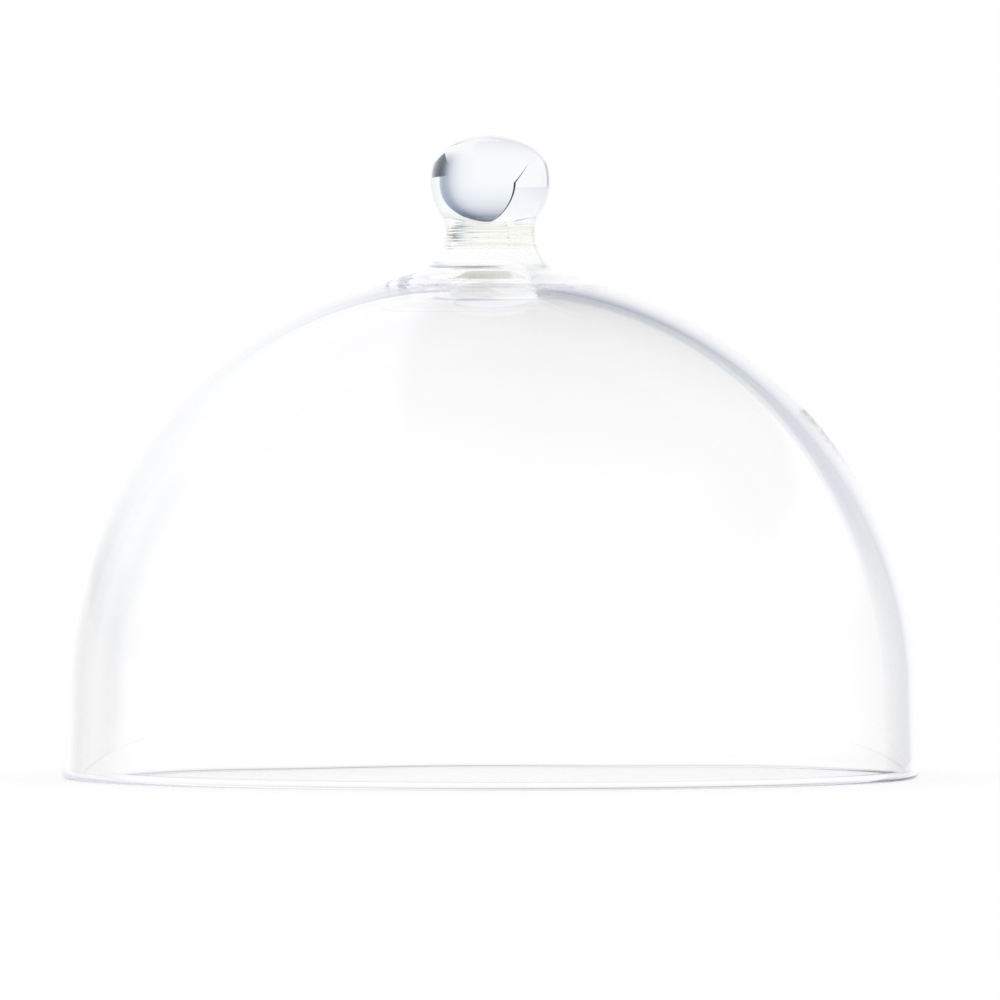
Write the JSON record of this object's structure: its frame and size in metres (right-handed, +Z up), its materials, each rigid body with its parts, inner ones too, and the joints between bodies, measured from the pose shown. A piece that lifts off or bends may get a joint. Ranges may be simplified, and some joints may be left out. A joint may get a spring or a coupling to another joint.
{
  "type": "bell jar dome",
  "caption": "Clear glass bell jar dome: a hemispherical bowl on a short flared skirt, with a solid glass ball knob on a waisted post sealed to the crown.",
  "frame": {"origin": "centre of the plane that the rim rests on", "axes": "+Z up the dome's axis, from the rim to the knob; X and Y are free, because every piece is round about Z"},
  "size_m": [0.2999, 0.3, 0.225],
  "materials": {
    "shell_glass": "clear blown glass, fire-polished",
    "knob_glass": "clear solid glass, hot-worked"
  },
  "bodies": {
    "root": {"dome_shell": "shell_glass", "neck_post": "knob_glass", "knob_ball": "knob_glass"}
  },
  "joints": []
}
